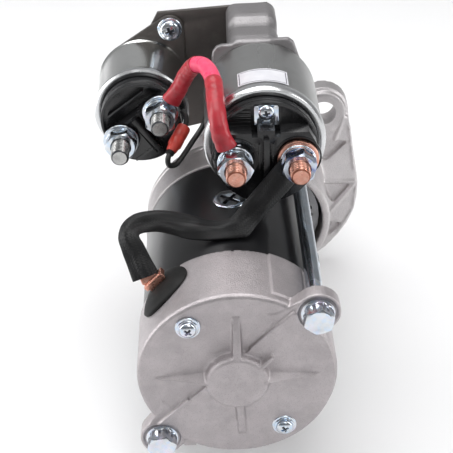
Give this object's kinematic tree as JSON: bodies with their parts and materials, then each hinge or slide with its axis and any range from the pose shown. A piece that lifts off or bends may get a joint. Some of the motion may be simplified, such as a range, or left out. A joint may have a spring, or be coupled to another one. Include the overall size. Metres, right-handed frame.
{
  "type": "starter motor",
  "caption": "Gear-reduction starter motor with a lever-type solenoid above the motor, an auxiliary relay on a bracket, short bolted leads and a bolted mounting flange.",
  "frame": {"origin": "centre of the pilot on the mounting flange face, on the pinion axis", "axes": "+Y along the pinion axis towards the pinion, +Z towards the solenoid, +X to the right seen from the rear cover"},
  "size_m": [0.1522, 0.2704, 0.1846],
  "materials": {
    "black_paint": "black satin paint",
    "black_plastic": "moulded phenolic, satin",
    "black_wire": "wire insulation",
    "bracket_steel": "dull plated sheet",
    "braid": "woven sleeve",
    "carbon": "copper-graphite",
    "cast_aluminium": "as die-cast, fine grain",
    "copper": "bare copper, bright",
    "red_cable": "soft insulation",
    "red_sleeve": "moulded sleeve",
    "relay_steel": "bright zinc plate",
    "rubber": "matt",
    "solenoid_steel": "zinc plate, satin",
    "steel": "machined",
    "zinc_plate": "bright zinc plate"
  },
  "bodies": {
    "stator": {"armature_front_bearing": "steel", "brush_1": "carbon", "brush_2": "carbon", "brush_3": "carbon", "brush_4": "carbon", "brush_holder": "steel", "brush_screw_1": "zinc_plate", "brush_screw_2": "zinc_plate", "bullet_sleeve": "red_sleeve", "centre_bracket": "cast_aluminium", "drive_housing": "cast_aluminium", "field_winding": "copper", "fixed_core": "steel", "jumper_lead": "red_cable", "lead_grommet": "rubber", "lever_pin": "steel", "motor_lead": "braid", "motor_lead_tab": "copper", "output_rear_bearing": "steel", "pole_shoe_1": "steel", "pole_shoe_2": "steel", "pole_shoe_3": "steel", "pole_shoe_4": "steel", "rear_bearing": "steel", "rear_cover": "cast_aluminium", "relay_base": "relay_steel", "relay_bracket": "bracket_steel", "relay_can": "relay_steel", "relay_cap": "black_plastic", "relay_nut_1": "zinc_plate", "relay_nut_2": "zinc_plate", "relay_screw_1": "zinc_plate", "relay_screw_2": "zinc_plate", "relay_stud_1": "zinc_plate", "relay_stud_2": "zinc_plate", "solenoid_can": "solenoid_steel", "solenoid_cap": "black_plastic", "solenoid_coil": "copper", "switch_clamp": "zinc_plate", "switch_screw": "zinc_plate", "switch_wire": "black_wire", "terminal_nut_b": "zinc_plate", "terminal_nut_m": "zinc_plate", "terminal_stud_b": "copper", "terminal_stud_m": "copper", "through_bolt_1": "zinc_plate", "through_bolt_2": "zinc_plate", "yoke": "black_paint"},
    "armature": {"armature_shaft": "steel", "armature_core": "steel", "armature_winding": "copper", "commutator": "copper"},
    "output": {"internal_ring_gear": "steel", "output_shaft": "steel"},
    "clutch": {"overrunning_clutch": "steel"},
    "pinion_drive": {"pinion": "steel"},
    "lever": {"shift_lever": "steel"},
    "plunger_core": {"plunger": "steel"},
    "contactor": {"contact_disc": "copper"},
    "relay_core": {"relay_armature": "steel"}
  },
  "joints": [
    {"name": "armature_spin", "type": "hinge", "parent": "stator", "child": "armature", "pos_m": [-0.0185, -0.116, 0.0062], "axis": [0, 1, 0], "continuous": true},
    {"name": "output_spin", "type": "hinge", "parent": "stator", "child": "output", "pos_m": [0, -0.006, 0], "axis": [0, 1, 0], "continuous": true},
    {"name": "clutch_slide", "type": "slide", "parent": "output", "child": "clutch", "axis": [0, 1, 0], "range_m": [0, 0.015]},
    {"name": "pinion_overrun", "type": "hinge", "parent": "clutch", "child": "pinion_drive", "pos_m": [0, 0.024, 0], "axis": [0, 1, 0], "continuous": true},
    {"name": "lever_pivot", "type": "hinge", "parent": "stator", "child": "lever", "pos_m": [0, -0.024, 0.0502], "axis": [1, 0, 0], "range_deg": [0, 18.1]},
    {"name": "plunger_slide", "type": "slide", "parent": "stator", "child": "plunger_core", "axis": [0, -1, 0], "range_m": [0, 0.0111], "stiffness_N_per_m": 1500, "springref_m": -0.02},
    {"name": "contact_slide", "type": "slide", "parent": "stator", "child": "contactor", "axis": [0, -1, 0], "range_m": [0, 0.0034], "stiffness_N_per_m": 800, "springref_m": -0.004},
    {"name": "relay_slide", "type": "slide", "parent": "stator", "child": "relay_core", "axis": [0, -1, 0], "range_m": [0, 0.0032], "stiffness_N_per_m": 800, "springref_m": -0.004}
  ],
  "couplings": [
    {"joint": "output_spin", "follows": "armature_spin", "ratio": 0.31579},
    {"joint": "lever_pivot", "follows": "plunger_slide", "rad_per_m": 28.46},
    {"joint": "clutch_slide", "follows": "plunger_slide", "ratio": 1.3514}
  ]
}
